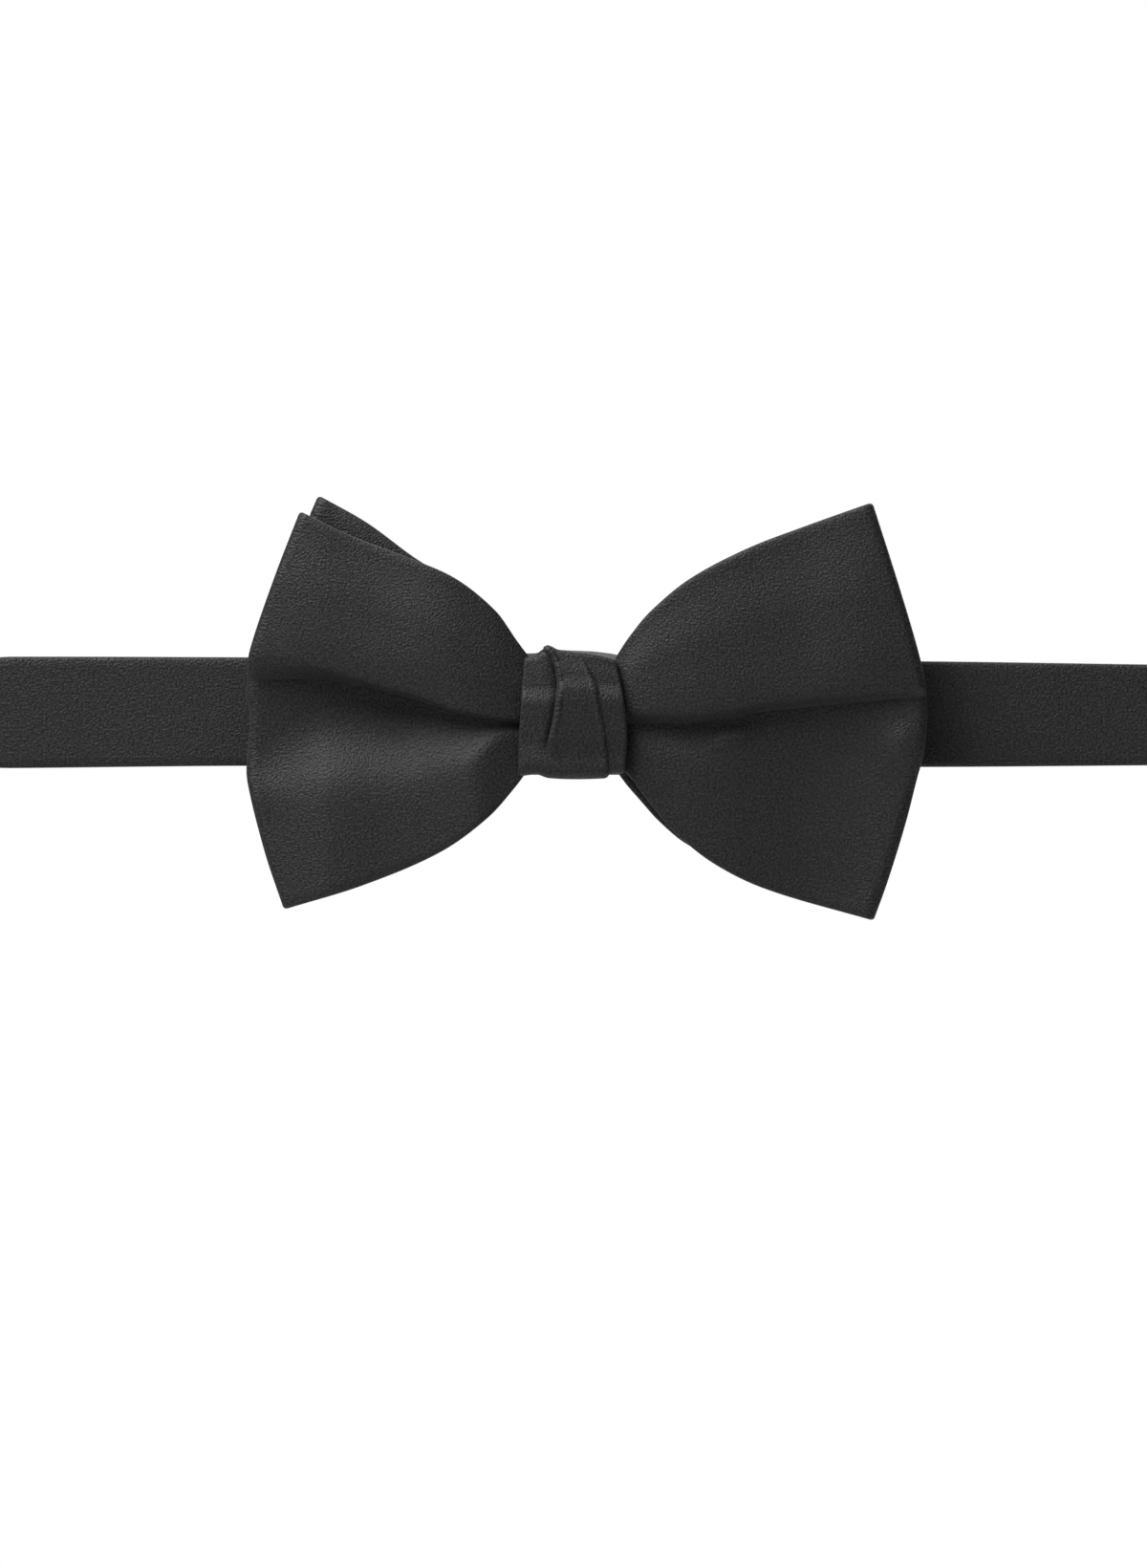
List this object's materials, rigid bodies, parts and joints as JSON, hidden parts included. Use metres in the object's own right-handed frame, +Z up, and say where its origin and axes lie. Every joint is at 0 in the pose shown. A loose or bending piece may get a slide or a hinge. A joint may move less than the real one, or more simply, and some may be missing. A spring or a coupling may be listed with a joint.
{
  "type": "bow tie",
  "caption": "Black satin pre-tied bow tie: layered wings gathered in a pleated knot, on a folded-back neckband with slide, hook and eye.",
  "frame": {"origin": "centre of the neckband behind the knot, where the tie sits on the collar", "axes": "+Z up as worn, -Y out of the front of the bow, +X to the right seen from the front"},
  "size_m": [0.2192, 0.0302, 0.0751],
  "materials": {
    "black_satin": "satin weave, soft sheen",
    "interlining": "matt woven canvas",
    "black_thread": "twisted thread",
    "label_tape": "blank woven tape",
    "polished_metal": "polished nickel plate"
  },
  "bodies": {
    "bow": {"front_bow_satin": "black_satin", "front_bow_interlining": "interlining", "back_bow_satin": "black_satin", "back_bow_interlining": "interlining", "waist_thread": "black_thread", "knot_wrap_satin": "black_satin", "knot_interlining": "interlining", "knot_back_stitches": "black_thread", "front_band_satin": "black_satin", "front_band_interlining": "interlining", "care_label": "label_tape", "label_stitches": "black_thread", "left_band_fold": "black_satin", "right_band_fold": "black_satin"},
    "left_rear_band": {"left_rear_band_satin": "black_satin", "left_rear_band_interlining": "interlining"},
    "right_rear_band": {"right_rear_band_satin": "black_satin", "right_rear_band_interlining": "interlining", "eye_strap_turn": "black_satin", "eye_tack_stitches": "black_thread"},
    "slide": {"adjuster_slide": "polished_metal", "slide_strap_end": "black_satin", "slide_tack_stitches": "black_thread"},
    "hook_carriage": {"hook_strap_turn": "black_satin", "hook_strap_run": "black_satin"},
    "hook": {"hook": "polished_metal"},
    "eye": {"eye": "polished_metal"}
  },
  "joints": [
    {"name": "left_band_fold", "type": "hinge", "parent": "bow", "child": "left_rear_band", "pos_m": [-0.103, 0.006, 0], "axis": [0, 0, 1], "range_deg": [0, 179], "deforming": ["left_band_fold"]},
    {"name": "right_band_fold", "type": "hinge", "parent": "bow", "child": "right_rear_band", "pos_m": [0.103, 0.006, 0], "axis": [0, 0, -1], "range_deg": [0, 179], "deforming": ["right_band_fold"]},
    {"name": "adjuster_travel", "type": "slide", "parent": "left_rear_band", "child": "slide", "axis": [-1, 0, 0], "range_m": [0, 0.048]},
    {"name": "hook_travel", "type": "slide", "parent": "left_rear_band", "child": "hook_carriage", "axis": [-1, 0, 0], "range_m": [0, 0.024]},
    {"name": "hook_swivel", "type": "hinge", "parent": "hook_carriage", "child": "hook", "pos_m": [-0.014, 0.01105, 0], "axis": [0, 0, 1], "range_deg": [-15, 70]},
    {"name": "eye_swivel", "type": "hinge", "parent": "right_rear_band", "child": "eye", "pos_m": [0.026, 0.01105, 0], "axis": [0, 0, -1], "range_deg": [-25, 70]}
  ],
  "couplings": [
    {"joint": "hook_travel", "follows": "adjuster_travel", "ratio": 0.5}
  ]
}
